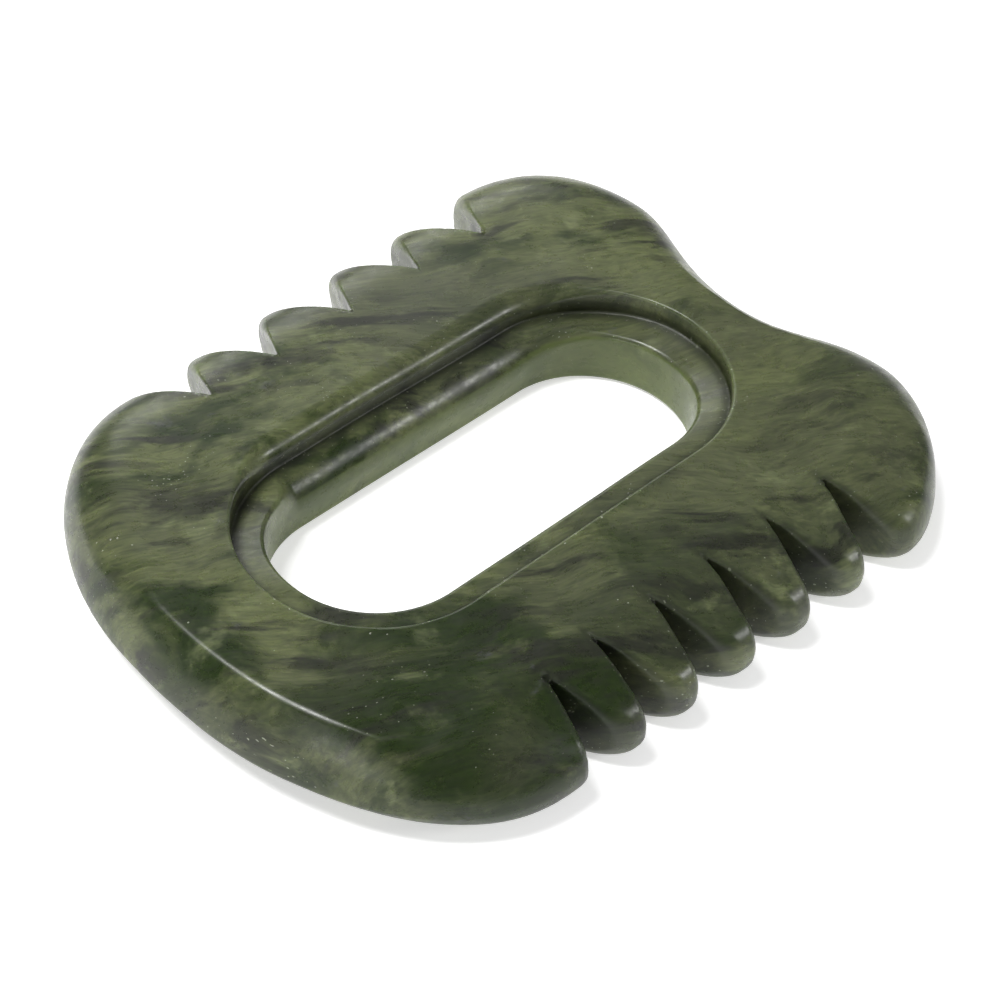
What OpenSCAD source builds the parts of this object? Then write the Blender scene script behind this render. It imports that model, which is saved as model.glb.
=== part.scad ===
// Gua sha scraper: one carved stone with a hand slot, a sunken ledge round the slot and a
// comb of V notches on both long edges.
// Millimetres. +Z up, -X the rounded front, +X the two rear horns, flat rest face on z = 0.

/* [Overall] */
// Length, rounded front to rear horns, mm
overall_length = 125; // [118:1:140]
// Width over the two horns, mm
overall_width = 100.4; // [96:0.2:112]
// Thickness of the stone, mm
thickness = 14.3; // [12:0.1:18]

/* [Plan outline] */
// How much the far edge (+Y) draws in towards the front, mm
far_taper = 3.4; // [0:0.1:5]
// How much the near edge (-Y) draws in towards the front, mm
near_taper = 1.7; // [0:0.1:5]
// Start of the two straight comb edges, X, mm
edge_start = -31; // [-34:0.5:-30]
// End of the two straight comb edges, X, mm
edge_end = 40; // [38:0.5:42]
// Foremost point of each horn, distance from the centre line, mm
horn_spread = 25.8; // [24:0.2:30]
// Depth of the hollow between the horns, mm
saddle_depth = 6.8; // [2:0.2:9]

/* [Edge rounding] */
// Height of the widest section, mm
edge_height = 4.6; // [3:0.1:6]
// Width of the rounding above it at the front, mm
front_top_round = 5.6; // [3:0.1:9]
// Width of the rounding below it at the front, mm
front_base_round = 7.8; // [3:0.1:9]
// Width of the slope down to the far comb and the horns, mm
comb_top_round = 12.6; // [9:0.1:13]
// Width of the slope down to the near comb, mm
near_top_round = 12.6; // [6:0.1:13]
// Width of the rounding under the combs, mm
comb_base_round = 6.6; // [3:0.1:9]

/* [Combs] */
// Notches in the near edge
near_notches = 6; // [3:1:7]
// Notches in the far edge
far_notches = 5; // [3:1:7]
// First notch, X, mm
comb_start = -25.8; // [-27:0.1:-25]
// First notch to last notch, mm
comb_length = 57.8; // [52:0.2:58]
// How much wider each near tooth is than the one before it, mm
near_growth = 0.5; // [0:0.1:0.8]
// Slant of the wall on the front side of a near notch, degrees
near_front_wall = 15; // [8:0.5:24]
// Slant of the wall on the rear side of a near notch, degrees
near_rear_wall = 24; // [14:0.5:28]
// Slant of the wall on the front side of a far notch, degrees
far_front_wall = 35; // [20:0.5:38]
// Slant of the wall on the rear side of a far notch, degrees
far_rear_wall = 24; // [14:0.5:30]
// Centre line to the notch roots at the top face on the near edge, mm
near_root = 37; // [35:0.1:40]
// Centre line to the notch roots at the top face on the far edge, mm
far_root = 35.3; // [34:0.1:38]
// How much further out the roots run at the rest face, mm
root_lean = 0.6; // [0:0.1:3]
// Rounding of the tooth tips, mm
tip_round = 2; // [0.5:0.1:3]

/* [Hand slot] */
// Length of the slot for four fingers, mm
slot_length = 78; // [70:1:82]
// Width of the slot, mm
slot_width = 32.2; // [28:0.2:34]
// Width of the sunken ledge, slot wall to rim, mm
ledge_width = 4.5; // [4.5:0.1:5]
// Depth of the ledge below the top face, mm
ledge_depth = 3.5; // [1.5:0.1:4]
// Rounding of the lip where the ledge meets the slot wall, mm
lip_round = 2; // [1:0.1:3.8]
// Fillet in the corner of the ledge, mm
corner_round = 0.6; // [0.3:0.1:0.7]
// Rounding of the rim at the top face, mm
rim_round = 0.6; // [0.3:0.1:1]
// Rounding of the slot wall at the rest face, mm
base_round = 0.8; // [0.3:0.1:1.5]

/* [Hidden] */
stone_green = [0.24, 0.29, 0.18];
nose = [-overall_length / 2, 0];
horn = [overall_length / 2, horn_spread];
saddle = [overall_length / 2 - saddle_depth, 0];
half_width = overall_width / 2;
slot_centre = [-1.2, -0.4];
slot_radius = slot_width / 2;
slot_half = slot_length / 2 - slot_radius;
through = 1;            // how far cutters run past a face
smooth = 96;            // $fn of the exact rounds
far = 1;
near = -1;
front_power = 1.5;      // superellipse power of the front edge section
comb_power = 2.6;       // superellipse power of the far comb and horn edge section
near_power = 1.65;      // the same for the top of the near comb
saddle_blend = 0.5;     // the saddle's edge section, 0 as the front to 1 as the combs
min_tip = 1.2;          // least half width of a tooth tip and least run of a notch wall
core_radius = 10;       // inner ring of the two flat faces
base_steps = 5;
top_steps = 11;
levels = [for (i = [-base_steps : top_steps]) i < 0 ? 90 * i / base_steps : 90 * i / top_steps];

function mix(a, b, t) = a + (b - a) * t;
function smoothstep(t) = let (u = max(0, min(1, t))) u * u * (3 - 2 * u);
function bezier(a, b, c, d, t) =
    pow(1 - t, 3) * a + 3 * pow(1 - t, 2) * t * b + 3 * (1 - t) * t * t * c + pow(t, 3) * d;
function unit(v) = v / norm(v);

// plan outline of one half, y > 0: front curve, straight comb edge, horn, hollow of the saddle
function taper(side) = side == far ? far_taper : near_taper;
function edge_y(side, x) =
    half_width - taper(side) * (edge_end - x) / (edge_end - edge_start);
function front_curve(side, u) =
    let (corner = [edge_start, edge_y(side, edge_start)])
    bezier(nose, nose + [0, 26.8], corner - [19.2, 0], corner, u);
function horn_curve(u) =
    let (shoulder = [edge_end, half_width])
    bezier(shoulder, shoulder + [11, 0], horn + [0, 13], horn, u);
function saddle_curve(u) =
    bezier(horn, horn - [0, 9.3], saddle + [0, 11.1], saddle, u);

// edge section: angle -90 is the rest face, 0 the widest height, 90 the top face; w is 0 at the
// front to 1 at a comb, n is 1 where the top slopes down as it does over the near comb
function power_at(n, w, a) =
    mix(front_power, a < 0 ? comb_power : mix(comb_power, near_power, n), w);
function inset(n, w, a) =
    let (top = mix(comb_top_round, near_top_round, n),
         width = a < 0 ? mix(front_base_round, comb_base_round, w) : mix(front_top_round, top, w))
    width * (1 - pow(max(0, cos(a)), 2 / power_at(n, w, a)));
function height(n, w, a) =
    let (q = pow(abs(sin(a)), 2 / power_at(n, w, a)))
    a < 0 ? edge_height * (1 - q) : mix(edge_height, thickness, q);
function slope_kind(side) = side == far ? 0 : 1;

// a point of the front, horn or saddle: moved in towards the straight spine of the outline
function curve_point(side, p, n, w, a) =
    let (foot = [max(edge_start, min(edge_end, p[0])), 0],
         q = p + unit(foot - p) * inset(n, w, a))
    [q[0], side * q[1], height(n, w, a)];

// the notches of a comb, as they lie along X; the near ones spread out towards the rear
function notch_count(side) = side == far ? far_notches : near_notches;
function notch_x(side, k) =
    let (n = notch_count(side) - 1, growth = side == far ? 0 : near_growth)
    comb_start + k * comb_length / n + growth * k * (k - n) / 2;

// a point of a comb between the notches x0 and x1; wall is 0 at the notch root to 1 at the tooth,
// tip is -1 to 1 across the tooth
function notch_walls(side) =
    side == far ? [far_rear_wall, far_front_wall] : [near_rear_wall, near_front_wall];
function root_y(side, z) =
    (side == far ? far_root : near_root) + root_lean * (1 - z / thickness);
function comb_point(side, x0, x1, wall, tip, a) =
    let (n = slope_kind(side),
         z = height(n, 1, a),
         outer = edge_y(side, (x0 + x1) / 2) - inset(n, 1, a),
         root = min(root_y(side, z), outer),
         depth = outer - root,
         runs = [for (slant = notch_walls(side)) max(depth * tan(slant), min_tip)],
         fit = min(1, (x1 - x0 - 2 * min_tip) / (runs[0] + runs[1])),
         left = x0 + runs[0] * fit,
         right = x1 - runs[1] * fit,
         drop = min(tip_round, depth / 6) * (1 - sqrt(1 - 0.9 * tip * tip)),
         x = wall == 1 ? mix(left, right, (tip + 1) / 2)
             : tip < 0 ? mix(x0, left, wall) : mix(x1, right, wall))
    [x, side * (wall < 1 ? root + wall * depth : outer - drop), z];

walls = [0, 0.3, 0.6, 0.85];
tips = [-1, -0.8, -0.45, 0, 0.45, 0.8, 1];

function tooth(side, x0, x1, a) = concat(
    [for (w = walls) comb_point(side, x0, x1, w, -1, a)],
    [for (t = tips) comb_point(side, x0, x1, 1, t, a)],
    [for (i = [3 : -1 : 1]) comb_point(side, x0, x1, walls[i], 1, a)]);

// half ring at one level, from the front nose to the saddle
function half_ring(side, a) =
    let (count = notch_count(side),
         last = comb_start + comb_length,
         before = 2 * edge_start - comb_start,
         after = 2 * edge_end - last)
    concat(
        [for (i = [0 : 27]) let (u = i / 28)
            curve_point(side, front_curve(side, u), slope_kind(side), smoothstep((u - 0.35) / 0.6), a)],
        [for (t = [0, 0.45, 0.8, 1]) comb_point(side, before, comb_start, 1, t, a)],
        [for (i = [3 : -1 : 1]) comb_point(side, before, comb_start, walls[i], 1, a)],
        [for (k = [0 : count - 2])
            each tooth(side, notch_x(side, k), notch_x(side, k + 1), a)],
        [for (w = walls) comb_point(side, last, after, w, -1, a)],
        [for (t = [-1, -0.8, -0.45, 0]) comb_point(side, last, after, 1, t, a)],
        [for (i = [1 : 16])
            curve_point(side, horn_curve(i / 16), slope_kind(side) * (1 - smoothstep(i / 16)), 1, a)],
        [for (i = [1 : (side == far ? 14 : 13)]) let (u = i / 14)
            curve_point(side, saddle_curve(u), 0, mix(1, saddle_blend, smoothstep(u)), a)]);

function ring(a) =
    let (f = half_ring(far, a), n = half_ring(near, a))
    concat(f, [for (i = [len(n) - 1 : -1 : 1]) n[i]]);

// a rounded ring inside a flat face, so that the face splits into clean triangles
function inner_ring(outer) =
    [for (p = outer) let (foot = [max(edge_start, min(edge_end, p[0])), 0],
                          arm = [p[0], p[1]] - foot,
                          q = foot + arm * min(0.5, core_radius / norm(arm)))
        [q[0], q[1], p[2]]];

module rounded_blank() {
    side = [for (a = levels) ring(a)];
    rings = concat([inner_ring(side[0])], side, [inner_ring(side[len(side) - 1])]);
    n = len(rings[0]);
    m = len(rings);
    polyhedron(
        points = concat([for (r = rings) each r], [[0, 0, 0], [0, 0, thickness]]),
        faces = [for (i = [0 : n - 1]) let (k = (i + 1) % n) each concat(
            [[m * n, k, i], [m * n + 1, (m - 1) * n + i, (m - 1) * n + k]],
            [for (j = [0 : m - 2]) let (low = j * n, high = low + n) each
                [[low + i, low + k, high + k], [low + i, high + k, high + i]]])]);
}

// section of the slot and its ledge, from the slot's centre line outwards
function quarter(c, r, a0, a1, steps) =
    [for (i = [0 : steps]) let (t = mix(a0, a1, i / steps)) c + r * [cos(t), sin(t)]];
ledge_z = thickness - ledge_depth;
rim_radius = slot_radius + ledge_width;
slot_section = concat(
    [[0, -through], [slot_radius + base_round, -through]],
    quarter([slot_radius + base_round, base_round], base_round, 270, 180, 4),
    quarter([slot_radius + lip_round, ledge_z - lip_round], lip_round, 180, 90, 8),
    quarter([rim_radius - corner_round, ledge_z + corner_round], corner_round, 270, 360, 5),
    quarter([rim_radius + rim_round, thickness - rim_round], rim_round, 180, 90, 4),
    [[rim_radius + rim_round, thickness + through], [0, thickness + through]]);

module slot_cutter() {
    translate(slot_centre) {
        for (end = [-1, 1])
            translate([end * slot_half, 0, 0])
                rotate_extrude($fn = smooth) polygon(slot_section);
        for (turn = [0, 180])
            rotate([90, 0, 90 + turn])
                linear_extrude(height = 2 * slot_half, center = true) polygon(slot_section);
    }
}

module stone_body() {
    color(stone_green)
        difference() {
            rounded_blank();
            slot_cutter();
        }
}

stone_body();
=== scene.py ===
"""Gua sha scraper: the carved stone, its jade-like material, a pale floor and soft studio light."""

import math

import bpy
import numpy as np
from mathutils import Matrix, Vector


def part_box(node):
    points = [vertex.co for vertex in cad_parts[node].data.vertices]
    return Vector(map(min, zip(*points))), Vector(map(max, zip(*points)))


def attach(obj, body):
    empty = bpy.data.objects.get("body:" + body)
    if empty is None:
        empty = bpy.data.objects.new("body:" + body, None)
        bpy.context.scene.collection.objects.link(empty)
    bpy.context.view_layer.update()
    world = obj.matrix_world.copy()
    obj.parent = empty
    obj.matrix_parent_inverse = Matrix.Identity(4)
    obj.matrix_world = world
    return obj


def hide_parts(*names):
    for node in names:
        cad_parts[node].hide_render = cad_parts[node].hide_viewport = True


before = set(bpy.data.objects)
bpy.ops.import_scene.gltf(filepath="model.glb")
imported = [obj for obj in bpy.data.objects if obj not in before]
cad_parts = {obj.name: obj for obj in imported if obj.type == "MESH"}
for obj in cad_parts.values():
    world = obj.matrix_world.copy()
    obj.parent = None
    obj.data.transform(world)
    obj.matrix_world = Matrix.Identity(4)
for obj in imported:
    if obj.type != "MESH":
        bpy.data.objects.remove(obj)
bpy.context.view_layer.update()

# The stone is shaped in millimetres in the row frame. Its overall sizes come from the CAD node.
LOW, HIGH = (np.array(corner) * 1000 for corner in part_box("stone_body"))
THICK = HIGH[2] - LOW[2]
NOSE, HORN_X, HALF = LOW[0], HIGH[0], HIGH[1]

EDGE_START, EDGE_END = -31.0, 40.0  # X between which the edges have the comb's section
HORN_Y = 25.8  # distance of the horns from the centre line, about the mean of the two sides
SADDLE_DEPTH, SADDLE_PULL = 6.8, 11.1
# The two halves of the outline: how much the comb edge draws in towards the front, where it
# starts and ends, the horn's place, and the pull of each curve's ends
FAR_SIDE = dict(taper=3.4, start=-32.0, end=40.7, horn_y=26.4, nose=26.3, corner=18.1,
                shoulder=13.5, horn=13.9, hollow=7.4)
NEAR_SIDE = dict(taper=1.7, start=-29.9, end=39.1, horn_y=25.3, nose=27.3, corner=20.4,
                 shoulder=8.5, horn=12.0, hollow=11.2)
EDGE_Z = 4.6  # height of the widest section
BEVEL_WIDTH, BEVEL_POWER = 4.8, 1.77  # the bevel above it on the front face
NEAR_SLOPE, SLOPE_WIDTH = 0.47, 11.5  # fall of the near teeth's tops in radians, and its width
# The notches are cut by hand, so each has its own root place along X, distance of the root from
# the centre line, slant of its front wall and slant of its rear wall, the slants in degrees
NEAR_NOTCHES = ((-26.7, 37.0, 8, 24), (-17.0, 35.9, 1, 24), (-5.5, 36.6, 6.5, 24),
                (6.0, 36.4, 5.5, 24), (18.5, 36.8, 9.5, 24), (30.9, 37.1, 11.5, 24))
FAR_NOTCHES = ((-24.6, 34.8, 35, 15.5), (-11.4, 35.3, 35, 23), (4.0, 35.6, 35, 22),
               (19.0, 36.3, 35, 17.5), (33.2, 36.0, 35, 20))
SLOT_X, SLOT_Y, SLOT_RADIUS, SLOT_HALF = -1.2, -0.4, 15.7, 22.8
LEDGE_WIDTH = 4.9
# Grid of the mesh: steps along one side of the slot and round one end, and where its rows that
# are concentric with the slot begin and end
SIDE_STEPS, TURN_STEPS = 92, 150
GRID_START, GRID_CHANGE = 14.9, 22.6


def mix(a, b, t):
    return a + (b - a) * t


def smoothstep(t):
    t = np.clip(t, 0, 1)
    return t * t * (3 - 2 * t)


def bezier(a, b, c, d, t):
    t = np.asarray(t)[:, None]
    return (1 - t) ** 3 * a + 3 * (1 - t) ** 2 * t * b + 3 * (1 - t) * t * t * c + t**3 * d


def half_outline(side):
    """Plan outline of one half without its notches, from the front nose to the saddle, y > 0."""
    P = lambda x, y: np.array([x, y], float)
    nose, corner = P(NOSE, 0), P(side["start"], HALF - side["taper"])
    shoulder, horn = P(side["end"], HALF), P(HORN_X, side["horn_y"])
    saddle = P(HORN_X - SADDLE_DEPTH, 0)
    t = np.linspace(0, 1, 160, endpoint=False)
    whole = np.linspace(0, 1, 120)
    return np.concatenate([
        bezier(nose, nose + P(0, side["nose"]), corner - P(side["corner"], 0), corner, t),
        mix(corner, shoulder, t[:, None]),
        bezier(shoulder, shoulder + P(side["shoulder"], 0), horn + P(0, side["horn"]), horn, t),
        bezier(horn, horn - P(0, side["hollow"]), saddle + P(0, SADDLE_PULL), saddle, whole),
    ])


def outline():
    far, near = half_outline(FAR_SIDE), half_outline(NEAR_SIDE)
    return np.concatenate([far, near[::-1][1:-1] * (1, -1)])


class PlanDistance:
    """Distance in from the plan outline, read smoothly from a square grid of exact values."""

    STEP = 0.5

    def __init__(self, loop):
        self.origin = loop.min(0) - 4
        nx, ny = np.ceil((loop.max(0) + 4 - self.origin) / self.STEP).astype(int) + 1
        a, b = loop, np.roll(loop, -1, 0)
        ab = b - a
        self.grid = np.empty((nx, ny))
        ys = self.origin[1] + self.STEP * np.arange(ny)
        for i in range(nx):
            p = np.stack([np.full(ny, self.origin[0] + self.STEP * i), ys], 1)[:, None]
            t = np.clip(((p - a) * ab).sum(2) / (ab * ab).sum(1), 0, 1)
            gap = p - a - t[..., None] * ab
            dist = np.sqrt((gap * gap).sum(2).min(1))
            rise = np.where(ab[:, 1] == 0, 1, ab[:, 1])
            crossed = ((a[:, 1] > p[..., 1]) != (b[:, 1] > p[..., 1])) & (
                p[..., 0] < ab[:, 0] * (p[..., 1] - a[:, 1]) / rise + a[:, 0])
            self.grid[i] = np.where(crossed.sum(1) % 2 == 1, dist, -dist)

    def __call__(self, x, y):
        u, v = (x - self.origin[0]) / self.STEP, (y - self.origin[1]) / self.STEP
        i = np.clip(np.floor(u).astype(int), 1, self.grid.shape[0] - 3)
        j = np.clip(np.floor(v).astype(int), 1, self.grid.shape[1] - 3)
        wu, wv = self.weights(u - i), self.weights(v - j)
        total = 0
        for m in range(4):
            for n in range(4):
                total = total + wu[m] * wv[n] * self.grid[i + m - 1, j + n - 1]
        return total

    @staticmethod
    def weights(t):
        """Catmull-Rom weights of the four nearest values."""
        return (0.5 * t * ((2 - t) * t - 1), 0.5 * (t * t * (3 * t - 5) + 2),
                0.5 * t * ((4 - 3 * t) * t + 1), 0.5 * (t - 1) * t * t)


def round_both(a, b, r):
    """Solid where both a and b are negative, with the edge between them rounded to r."""
    u, v = np.maximum(a + r, 0), np.maximum(b + r, 0)
    return np.minimum(-r, np.maximum(a, b)) + np.sqrt(u * u + v * v)


def waves(x, y, z, seed, size, count=9):
    """Smooth wandering value from 0 to 1, with features of about size mm."""
    rng = np.random.default_rng(seed)
    total = 0
    for _ in range(count):
        k = rng.normal(size=3)
        k *= 2 * np.pi / (size * rng.uniform(0.7, 1.5) * np.linalg.norm(k))
        total = total + np.sin(k[0] * x + k[1] * y + k[2] * z + rng.uniform(0, 6.28))
    return np.clip(0.5 + total / (2.2 * math.sqrt(count)), 0, 1)


def comb_share(x, y):
    """0 at the thick front edge, 1 at the combs and horns, with the saddle in between."""
    turn = np.degrees(np.arctan2(np.abs(y), np.maximum(EDGE_START - x, 0)))
    share = np.where(x < EDGE_START, smoothstep((turn - 43) / 43), 1)
    saddle = smoothstep(1 - np.abs(y) / HORN_Y) * smoothstep((x - EDGE_END) / 8)
    return share * (1 - 0.5 * saddle)


def oval(across, up, power, width, rise):
    """Superellipse edge section: across runs in from the edge, up is the height over the middle."""
    a = np.maximum(1 - across / width, 1e-6)
    b = np.maximum(np.abs(up) / rise, 1e-6)
    r = (a**power + b**power) ** (1 / power)
    slope = np.sqrt(((a / r) ** (power - 1) / width) ** 2 + ((b / r) ** (power - 1) / rise) ** 2)
    return (r - 1) / slope


def front_section(across, z, y):
    """Rounded below, and above it a bevel that meets the top face in a crease near the nose."""
    q = np.clip((z - EDGE_Z) / (THICK - EDGE_Z), 0, 1.2)
    tilt = BEVEL_WIDTH * BEVEL_POWER * q ** (BEVEL_POWER - 1) / (THICK - EDGE_Z)
    bevel = (BEVEL_WIDTH * q**BEVEL_POWER - across) / np.hypot(1, tilt)
    crease = smoothstep((y + 35) / 6) * smoothstep((22 - y) / 16)
    above = round_both(bevel, z - THICK, mix(4.0, 0.7, crease))
    return np.where(z > EDGE_Z, above, oval(across, z - EDGE_Z, 1.5, 7.8, EDGE_Z))


def comb_section(across, x, y, z):
    """Near teeth that slope down to a blunt nose, rounder far teeth, and full horns."""
    far_side = smoothstep((y + 12) / 24)
    tips = far_side * smoothstep((36 - x) / 5) * smoothstep((x + 29) / 4)
    horn = smoothstep((x - 44) / 10)
    above = z > EDGE_Z
    power = np.where(above, mix(mix(1.65, 2.4, horn), 2.6, far_side),
                     mix(mix(2.3, 2.6, np.maximum(horn, far_side)), 1.7, tips))
    width = np.where(above, 12.8, mix(5.8, 9.0, tips))
    edge = oval(across, z - EDGE_Z, power, width, np.where(above, THICK - EDGE_Z, EDGE_Z))
    slope = (z - THICK) * math.cos(NEAR_SLOPE) + (SLOPE_WIDTH - across) * math.sin(NEAR_SLOPE)
    blunt = round_both(round_both(slope, -across, 3.0), z - THICK, 1.6)
    near_teeth = smoothstep((-y - 8) / 20) * (1 - horn) * smoothstep((x + 34) / 8)
    return np.where(above, mix(edge, blunt, near_teeth), edge)


def notches(x, y, z, places, lean):
    """Positive inside the V notches of one comb, y counted outwards, and how far the nearest wall
    is a rear one, 0 to 1.

    The rear walls lean back by the given share of the way down from the top face."""
    cut, weight, rear_weight = np.full_like(x, -60.0), 1e-9, 0
    for place, root, front, rear in places:
        front, rear = math.radians(front), math.radians(rear)
        ahead = (y - root) * math.sin(front) + (x - place) * math.cos(front)
        behind = (y - root) * math.sin(rear) - (x - place) * math.cos(rear) + lean * (THICK - z)
        one = np.minimum(ahead, behind)
        share = np.exp(np.clip(one, -30, 3))
        weight = weight + share
        rear_weight = rear_weight + share * smoothstep(0.5 + (ahead - behind) / 4)
        blend = np.maximum(2.0 - np.abs(cut - one), 0)
        cut = np.maximum(cut, one) + blend * blend / 8
    return cut, rear_weight / weight


def stone(x, y, z, plan):
    """Negative inside the finished stone, in millimetres."""
    across, share = plan(x, y), comb_share(x, y)
    solid = mix(front_section(across, z, y), comb_section(across, x, y, z), share)
    grind = waves(x, y, z, 5, 26) * 0.2 + waves(x, y, z, 6, 9) * 0.05
    solid = solid + grind * smoothstep(z / 2.5)
    for side, places, lean in ((1, FAR_NOTCHES, 0.12), (-1, NEAR_NOTCHES, 0)):
        out = side * y
        cut, rear = notches(x, out, z, places, lean)
        cut = cut + 0.1 * (waves(x, y, z, 7, 6) - 0.5)
        widest = mix(1.0, 2.4 if side < 0 else 1.6, rear)
        under = smoothstep((4 - z) / 4)
        rounding = mix(0.35, widest, smoothstep((out - 38) / 10)) + 0.5 * under
        solid = round_both(solid, cut, rounding)
    return hand_slot(solid, x - SLOT_X, y - SLOT_Y, z)


def ledge(x, y):
    """Distance out from the slot wall and from the rim, and the ledge's depth at that place."""
    radial = np.hypot(np.maximum(np.abs(x) - SLOT_HALF, 0), y) - SLOT_RADIUS
    radial = radial + 0.14 * (waves(x, y, 0, 8, 30) - 0.5)
    rim = radial - LEDGE_WIDTH - 0.3 * (waves(x, y, 0, 9, 34) - 0.5)
    deep = smoothstep(0.5 + (y + 0.3 * x) / 26)
    at_rim, at_lip = 2.3 + deep * (1.2 + smoothstep(y / 16)), 2.4 + 2.8 * deep
    return radial, rim, mix(at_rim, at_lip, np.clip(-rim / LEDGE_WIDTH, 0, 1))


def hand_slot(solid, x, y, z):
    """Cuts the slot and its sunken ledge, cut deeper and rolled over along the far side."""
    radial, rim, depth = ledge(x, y)
    recess = round_both(rim, THICK - depth - z, 0.3)  # negative in the recess
    roll = smoothstep((x + 28) / 5) * smoothstep((38 - x) / 20) * smoothstep(y / 8)
    lip = round_both(-radial, -recess, mix(0.7, 5.5, roll))
    worn = smoothstep(y / 12) * smoothstep((42 - x) / 14) * smoothstep((x + 36) / 12)
    solid = round_both(solid, -recess, mix(0.5, 3.0, worn))
    solid = round_both(solid, -radial, 0.75)
    return np.maximum(solid, lip)


def painted_hollow_shade(x, y, z):
    """Painted shade: how much the base colour is darkened, and the stone made duller, in the ledge's
    corner and wall and near notches.
    """
    radial, rim, depth = ledge(x - SLOT_X, y - SLOT_Y)
    above = z - THICK + depth
    corner = 1 - smoothstep((np.hypot(rim, np.maximum(above, 0)) - 0.4) / 1.8)
    wall = (1 - smoothstep((np.abs(rim) - 0.5) / 0.7)) * smoothstep((depth - 1.8 - above) / 0.8)
    wall = wall * (above > 0)
    cut = notches(x, -y, z, NEAR_NOTCHES, 0)[0]
    facet = smoothstep((cut + 1.1) / 0.8) * (y < -34)
    facet = facet * smoothstep((52 + y) / 12) * smoothstep((z + 1) / 7)
    return np.maximum(np.maximum(corner, 0.8 * wall) * (radial > 1), 0.8 * facet)


def following_grid(plan):
    """Grid lines that follow the slot and, further out, the outline; plus the levels in height."""
    runs = np.linspace(-SLOT_HALF, SLOT_HALF, SIDE_STEPS, endpoint=False)
    turns = np.radians(np.linspace(90, -90, TURN_STEPS, endpoint=False))
    one_end, one_side = np.full(TURN_STEPS, SLOT_HALF), np.full(SIDE_STEPS, math.pi / 2)
    foot = np.concatenate([runs, one_end, -runs, -one_end])
    angle = np.concatenate([one_side, turns, -one_side, turns + math.pi])
    dx, dy = np.cos(angle)[:, None], np.sin(angle)[:, None]
    probe = np.linspace(20, 60, 401)
    gap = plan(SLOT_X + foot[:, None] + dx * probe, SLOT_Y + dy * probe)
    reach = probe[np.argmax(gap < 0, 1)][:, None]
    inner = np.broadcast_to(np.linspace(GRID_START, GRID_CHANGE, 24), (len(foot), 24))
    band = np.minimum(10.4, (reach - GRID_CHANGE) / 2)  # width of the rows that follow the outline
    middle = mix(GRID_CHANGE, reach - band, np.arange(1, 19) / 18)
    outer = reach - band + (band + 1) * np.arange(1, 20) / 19
    radius = np.concatenate([inner, middle, outer], 1)
    levels = np.concatenate([np.arange(-0.5, 1.3, 0.3), np.arange(1.3, 8.4, 0.62),
                             np.arange(8.5, 11.3, 0.4), np.arange(11.4, 14.9, 0.26)])
    return SLOT_X + foot[:, None] + dx * radius, SLOT_Y + dy * radius, levels


def surface_nets(value):
    """Quads of the surface value = 0, one vertex in each cell it crosses, in grid steps.

    The grid closes on itself along its first axis."""
    closed = value.shape[0]
    value = np.concatenate([value, value[:1]])
    cells = tuple(n - 1 for n in value.shape)
    total, hits = np.zeros(cells + (3,)), np.zeros(cells)
    index = np.indices(value.shape).astype(float)
    inside = value < 0
    crossings = []
    for axis in range(3):
        low = tuple(slice(0, -1) if a == axis else slice(None) for a in range(3))
        high = tuple(slice(1, None) if a == axis else slice(None) for a in range(3))
        cross = inside[low] != inside[high]
        crossings.append((cross, inside[low]))
        f0, f1 = value[low], value[high]
        t = np.where(cross, f0 / np.where(cross, f0 - f1, 1), 0)
        point = np.stack([index[a][low] + (t if a == axis else 0) for a in range(3)], -1)
        others = [a for a in range(3) if a != axis]
        for d0 in (0, 1):
            for d1 in (0, 1):
                part = [slice(None)] * 3
                part[others[0]] = slice(d0, d0 + cells[others[0]])
                part[others[1]] = slice(d1, d1 + cells[others[1]])
                part = tuple(part)
                total += np.where(cross[part][..., None], point[part], 0)
                hits += cross[part]
    used = hits > 0
    number = np.full(cells, -1)
    number[used] = np.arange(used.sum())
    quads = []
    for axis, (cross, first) in enumerate(crossings):
        b, c = (axis + 1) % 3, (axis + 2) % 3
        at = np.argwhere(cross)
        at = at[at[:, 0] < closed]
        outward = first[tuple(at.T)]
        corners = []
        for db, dc in ((1, 1), (0, 1), (0, 0), (1, 0)):
            cell = at.copy()
            cell[:, b] -= db
            cell[:, c] -= dc
            cell[:, 0] %= closed
            corners.append(number[tuple(cell.T)])
        quad = np.stack(corners, 1)
        quad[~outward] = quad[~outward][:, ::-1]
        quads.append(quad)
    return total[used] / hits[used][:, None], np.concatenate(quads)


def place_on_grid(steps, across_x, across_y, levels):
    """Millimetre positions of points given in grid steps."""
    across_x = np.concatenate([across_x, across_x[:1]])
    across_y = np.concatenate([across_y, across_y[:1]])
    i = np.minimum(steps[:, 0].astype(int), across_x.shape[0] - 2)
    j = np.minimum(steps[:, 1].astype(int), across_x.shape[1] - 2)
    u, v = steps[:, 0] - i, steps[:, 1] - j
    flat = [mix(mix(g[i, j], g[i + 1, j], u), mix(g[i, j + 1], g[i + 1, j + 1], u), v)
            for g in (across_x, across_y)]
    return np.stack(flat + [np.interp(steps[:, 2], np.arange(len(levels)), levels)], 1)


def gradient(field, p, eps=0.03):
    """Slope of the field at the points p, by central differences."""
    g = np.empty_like(p)
    for a in range(3):
        q, s = p.copy(), p.copy()
        q[:, a] += eps
        s[:, a] -= eps
        g[:, a] = (field(*q.T) - field(*s.T)) / (2 * eps)
    return g


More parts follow.
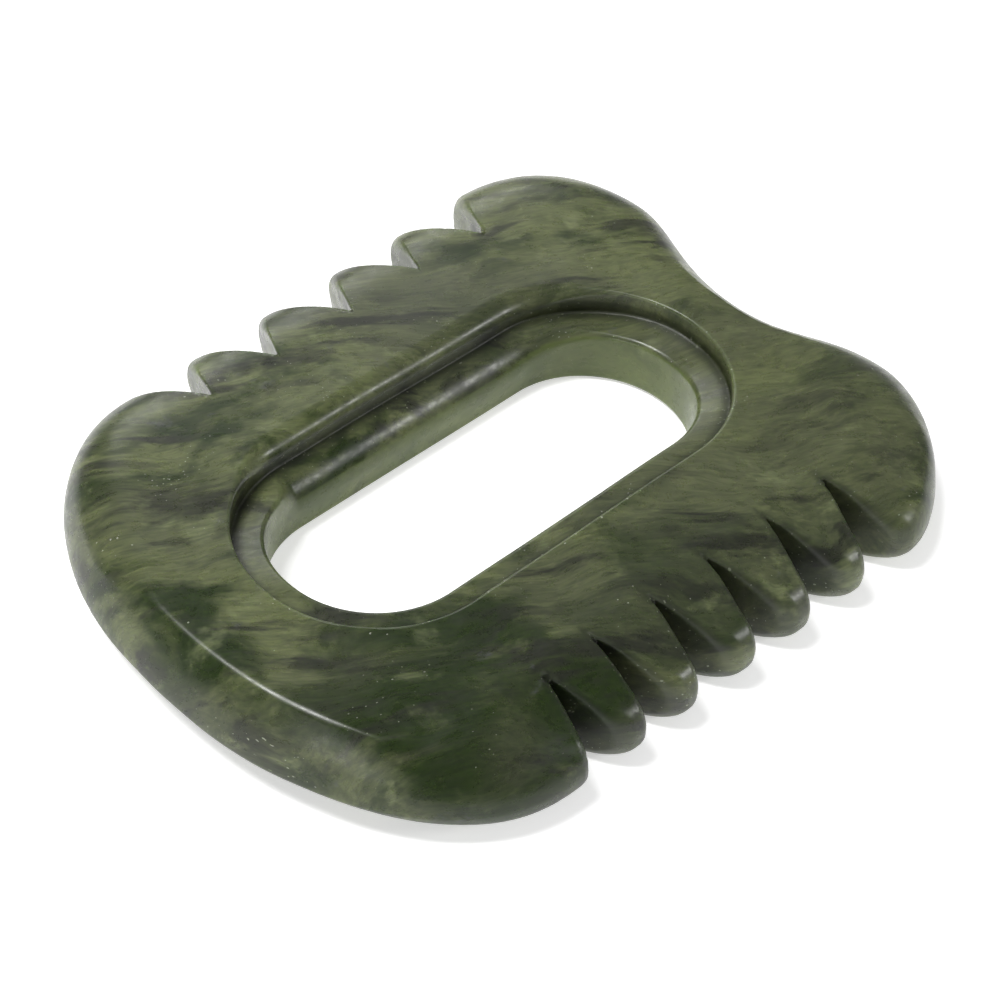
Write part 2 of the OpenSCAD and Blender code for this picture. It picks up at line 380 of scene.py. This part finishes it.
def stone_mesh():
    """Mesh of the stone, moved onto the exact surface, with normals and marks for its material."""
    plan = PlanDistance(outline())
    x, y, levels = following_grid(plan)
    value = np.stack([stone(x, y, np.full_like(x, z), plan) for z in levels], 2)
    steps, quads = surface_nets(value)
    points = place_on_grid(steps, x, y, levels)
    field = lambda px, py, pz: stone(px, py, pz, plan)
    for _ in range(4):
        g = gradient(field, points)
        move = g * (field(*points.T) / np.maximum((g * g).sum(1), 0.25))[:, None]
        points = points - np.clip(move, -0.3, 0.3)
    points = np.clip(points, LOW, HIGH)
    normals = gradient(field, points)
    normals /= np.maximum(np.linalg.norm(normals, axis=1), 1e-9)[:, None]
    bend = sum(field(*(points + side * 0.5 * axis).T) for axis in np.eye(3) for side in (-1, 1))
    mesh = bpy.data.meshes.new("jade_stone")
    mesh.from_pydata(points / 1000, [], quads)
    mesh.polygons.foreach_set("use_smooth", np.ones(len(quads), bool))
    mesh.normals_split_custom_set_from_vertices(normals)
    x, y, z = points.T
    # Mask of the slot's wall, where the base colour is painted lighter to stand in for the light on
    # it.
    wall = (ledge(x - SLOT_X, y - SLOT_Y)[0] < 0.5) & (np.abs(normals[:, 2]) < 0.5)
    # wear marks rubbed convex edges; hollow is the share of painted shade in the ledge and on the
    # near notch facets.
    marks = {"wear": smoothstep((bend - 0.06) / 0.45), "hollow": painted_hollow_shade(x, y, z), "slot_wall_painted_light": wall}
    for name, value in marks.items():
        mark = mesh.attributes.new(name, "FLOAT", "POINT")
        mark.data.foreach_set("value", value.astype(np.float32))
    return mesh


def build_stone():
    stone_piece = bpy.data.objects.new("jade_stone", stone_mesh())
    bpy.context.collection.objects.link(stone_piece)
    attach(stone_piece, "root")
    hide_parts("stone_body")
    return stone_piece


def build_camera():
    data = bpy.data.cameras.new("camera")
    data.lens, data.sensor_width = 88.3, 36
    camera = bpy.data.objects.new("camera", data)
    bpy.context.collection.objects.link(camera)
    azimuth, elevation, roll = math.radians(-47.74), math.radians(44.63), math.radians(4.6)
    target = Vector((2.6, 0.2, 0)) / 1000
    back = Vector((math.sin(azimuth) * math.cos(elevation), -math.cos(azimuth) * math.cos(elevation),
                   math.sin(elevation)))
    right = Vector((math.cos(azimuth), math.sin(azimuth), 0))
    up = back.cross(right)
    right, up = (right * math.cos(roll) + up * math.sin(roll),
                 up * math.cos(roll) - right * math.sin(roll))
    turn = Matrix((right, up, back)).transposed().to_4x4()
    camera.matrix_world = Matrix.Translation(target + back * 0.37263) @ turn
    bpy.context.scene.camera = camera


def area_light(name, place, size, power):
    """Softbox at a place in metres, aimed at the stone."""
    data = bpy.data.lights.new(name, "AREA")
    data.shape, data.size, data.size_y = "RECTANGLE", size[0], size[1]
    data.energy = power
    light = bpy.data.objects.new(name, data)
    bpy.context.collection.objects.link(light)
    aimed = (-Vector(place)).to_track_quat("-Z", "Y").to_matrix().to_4x4()
    light.matrix_world = Matrix.Translation(place) @ aimed


def build_studio():
    """Glowing white table, a dim white room and four softboxes, the main one overhead."""
    mesh = bpy.data.meshes.new("floor")
    mesh.from_pydata([(-3, -3, 0), (3, -3, 0), (3, 3, 0), (-3, 3, 0)], [], [(0, 1, 2, 3)])
    floor = bpy.data.objects.new("floor", mesh)
    floor.location.z = -0.0002
    bpy.context.collection.objects.link(floor)
    material = bpy.data.materials.new("floor_white")
    material.use_nodes = True
    shader = material.node_tree.nodes["Principled BSDF"]
    shader.inputs["Base Color"].default_value = (0.92, 0.92, 0.92, 1)
    shader.inputs["Roughness"].default_value = 1.0
    shader.inputs["Specular IOR Level"].default_value = 0.0
    shader.inputs["Emission Color"].default_value = (1, 1, 1, 1)
    shader.inputs["Emission Strength"].default_value = 0.50
    mesh.materials.append(material)

    world = bpy.data.worlds.new("studio")
    world.use_nodes = True
    world.node_tree.nodes["Background"].inputs["Color"].default_value = (1, 1, 1, 1)
    world.node_tree.nodes["Background"].inputs["Strength"].default_value = 0.25
    bpy.context.scene.world = world
    area_light("overhead", (-0.27, 0.26, 0.85), (0.20, 0.38), 7.4)
    area_light("side", (0.55, -0.72, 0.36), (0.22, 0.14), 2.2)
    area_light("back", (0.40, 0.70, 0.42), (0.50, 0.30), 1.5)
    area_light("front", (-0.75, -0.20, 0.20), (0.40, 0.22), 1.2)
    bpy.context.scene.view_settings.view_transform = "Standard"


class Graph:
    """Short names for building one material's nodes."""

    def __init__(self, name):
        self.material = bpy.data.materials.new(name)
        self.material.use_nodes = True
        self.tree = self.material.node_tree
        self.shader = self.tree.nodes["Principled BSDF"]

    def add(self, kind, out=0, settings=None, **sockets):
        node = self.tree.nodes.new("ShaderNode" + kind)
        for key, value in (settings or {}).items():
            setattr(node, key, value)
        for key, value in sockets.items():
            socket = int(key[1:]) if key[1:].isdigit() else key
            self.feed(node.inputs[socket], value)
        return node.outputs[out]

    def feed(self, socket, value):
        if isinstance(value, bpy.types.NodeSocket):
            self.tree.links.new(value, socket)
        else:
            socket.default_value = value

    def math(self, operation, a, b=0.0):
        return self.add("Math", settings={"operation": operation}, i0=a, i1=b)

    def scaled(self, vector, along, across, height):
        """Stretched copy of a position in mm, with the sizes given in mm."""
        return self.add("VectorMath", settings={"operation": "MULTIPLY"}, i0=vector,
                        i1=(1 / along, 1 / across, 1 / height))

    def noise(self, vector, detail=3.0, rough=0.55, warp=0.0, out=0):
        return self.add("TexNoise", out=out, Vector=vector, Scale=1.0, Detail=detail, Roughness=rough,
                        Distortion=warp)

    def ramp(self, value, low, high, to_low=0.0, to_high=1.0):
        return self.add("MapRange", settings={"interpolation_type": "SMOOTHSTEP"}, i0=value, i1=low,
                        i2=high, i3=to_low, i4=to_high)

    def blend(self, share, a, b, mode="MIX"):
        colours = [v if isinstance(v, bpy.types.NodeSocket) else (*v, 1.0) for v in (a, b)]
        return self.add("Mix", out=2, settings={"data_type": "RGBA", "blend_type": mode}, i0=share,
                        i6=colours[0], i7=colours[1])


def grain_position(g):
    """Position in mm, turned so that X runs along the grain of the stone, and gently bent."""
    place = g.add("TexCoord", out="Object")
    turned = g.add("Mapping", Vector=place, Rotation=(0.0, 0.25, math.radians(32)),
                   Scale=(1000.0, 1000.0, 1000.0))
    drift = g.noise(g.scaled(turned, 34, 26, 26), detail=2.0, out=1)
    offset = g.add("VectorMath", settings={"operation": "SUBTRACT"}, i0=drift, i1=(0.5, 0.5, 0.5))
    offset = g.add("VectorMath", settings={"operation": "MULTIPLY"}, i0=offset, i1=(16.0, 16.0, 8.0))
    return g.add("VectorMath", settings={"operation": "ADD"}, i0=turned, i1=offset)


def spot(g, place, centre):
    """1 near the centre, in metres, and 0 from three centimetres away."""
    away = g.add("VectorMath", out="Value", settings={"operation": "DISTANCE"}, i0=place, i1=centre)
    return g.ramp(away, 0.008, 0.030, 1.0, 0.0)


def jade():
    """Nephrite: clouded greens, smoky streaks along the grain, fine fibres and pale specks."""
    g = Graph("jade")
    p = grain_position(g)
    wear, hollow, slot_wall_painted_light = [g.add("Attribute", out="Fac", settings={"attribute_name": name})
                               for name in ("wear", "hollow", "slot_wall_painted_light")]

    place = g.add("TexCoord", out="Object")
    # Partly the stone's own tone and partly painted shade and light: a darker patch at the near front
    # lobe and a lighter one beyond the slot's end towards the horns.
    dark_spot = spot(g, place, (-0.028, -0.042, 0.010))
    light_spot = spot(g, place, (0.033, -0.020, 0.012))
    # Painted light and shade: the base colour grows lighter from the near side to the far side.
    painted_light_across = g.add("SeparateXYZ", out="Y", i0=place)
    clouds = g.noise(g.scaled(p, 24, 12, 12), detail=5.0, rough=0.6, warp=0.4)
    clouds = g.math("ADD", clouds, g.ramp(painted_light_across, -0.045, 0.035, -0.045, 0.05))
    clouds = g.math("ADD", clouds, g.math("MULTIPLY", light_spot, 0.13))
    clouds = g.math("SUBTRACT", clouds, g.math("MULTIPLY", dark_spot, 0.09))
    colour = g.blend(g.ramp(clouds, 0.39, 0.60), (0.013, 0.025, 0.003), (0.102, 0.118, 0.048))
    olive = g.noise(g.scaled(p, 40, 26, 20), detail=2.0)
    colour = g.blend(g.ramp(olive, 0.45, 0.62, 0.0, 0.6), colour, (0.062, 0.070, 0.036))
    smoke = g.noise(g.scaled(p, 30, 4.2, 6), detail=6.0, rough=0.62, warp=0.25)
    smoky = g.noise(g.scaled(p, 30, 18, 18), detail=2.0)
    amount = g.math("MULTIPLY", g.ramp(smoke, 0.48, 0.62), g.ramp(smoky, 0.38, 0.60, 0.15, 1.0))
    amount = g.math("MULTIPLY", amount, g.ramp(light_spot, 0.0, 1.0, 0.9, 0.45))
    colour = g.blend(amount, colour, (0.016, 0.018, 0.011))
    pale = g.noise(g.scaled(p, 9, 7, 7), detail=4.0, rough=0.6)
    patches = g.ramp(pale, 0.56, 0.72, 0.0, 0.6)
    patches = g.math("MULTIPLY", patches, g.ramp(dark_spot, 0.0, 0.8, 1.0, 0.2))
    colour = g.blend(patches, colour, (0.155, 0.178, 0.082))
    ash = g.noise(g.scaled(p, 8, 6, 6.5), detail=5.0, rough=0.7)
    colour = g.blend(g.ramp(ash, 0.62, 0.72, 0.0, 0.55), colour, (0.062, 0.066, 0.066))

    fibre = g.noise(g.scaled(p, 5.5, 0.55, 0.8), detail=3.0, rough=0.6, warp=0.5)
    colour = g.blend(1.0, colour, g.add("CombineColor", i0=g.ramp(fibre, 0.25, 0.75, 0.72, 1.3),
                                        i1=g.ramp(fibre, 0.25, 0.75, 0.74, 1.28),
                                        i2=g.ramp(fibre, 0.25, 0.75, 0.78, 1.3)), "MULTIPLY")
    grit = g.noise(g.scaled(p, 1.1, 0.7, 0.8), detail=3.0, rough=0.7)
    specks = g.add("TexVoronoi", Vector=g.scaled(p, 0.9, 0.75, 0.8), Scale=1.0)
    spread = g.noise(g.scaled(p, 12, 8, 8), detail=3.0)
    rough_places = g.math("MULTIPLY", g.math("MAXIMUM", wear, hollow), 0.20)
    size = g.math("ADD", g.ramp(spread, 0.45, 0.72, 0.03, 0.20), rough_places)
    size = g.math("MULTIPLY", size, g.ramp(grit, 0.40, 0.62))
    speck = g.math("LESS_THAN", specks, size)
    colour = g.blend(g.math("MULTIPLY", speck, 0.7), colour, (0.36, 0.38, 0.30))
    colour = g.blend(g.math("MULTIPLY", wear, 0.16), colour, (0.16, 0.19, 0.11))
    # Painted light: the slot's wall is blended 40 percent towards a lighter, yellower green.
    colour = g.blend(g.math("MULTIPLY", slot_wall_painted_light, 0.4), colour, (0.125, 0.165, 0.042))
    # Painted shade: where hollow is high, the base colour is multiplied down to about 0.28 of itself
    # in the ledge's corner and wall and on the near notch facets.
    colour = g.blend(hollow, colour, g.blend(1.0, colour, (0.28, 0.30, 0.24), "MULTIPLY"))
    g.feed(g.shader.inputs["Base Color"], colour)

    rough = g.ramp(g.noise(g.scaled(p, 3, 2, 2), detail=4.0, rough=0.7), 0.3, 0.7, 0.24, 0.38)
    dull = g.math("MULTIPLY", g.math("MAXIMUM", speck, hollow), 0.12)
    g.feed(g.shader.inputs["Roughness"], g.math("ADD", rough, dull))
    height = g.math("ADD", g.math("MULTIPLY", grit, 0.35), g.math("MULTIPLY", fibre, 0.35))
    height = g.math("SUBTRACT", height, g.math("MULTIPLY", speck, 0.8))
    bump = g.add("Bump", Strength=0.35, Distance=0.00005, Height=height)
    g.feed(g.shader.inputs["Normal"], bump)
    g.shader.inputs["Subsurface Weight"].default_value = 0.35
    g.shader.inputs["Subsurface Radius"].default_value = (0.6, 1.0, 0.3)
    g.shader.inputs["Subsurface Scale"].default_value = 0.003
    g.shader.inputs["IOR"].default_value = 1.43
    return g.material


build_camera()
piece = build_stone()
piece.data.materials.append(jade())
build_studio()
bpy.context.view_layer.update()
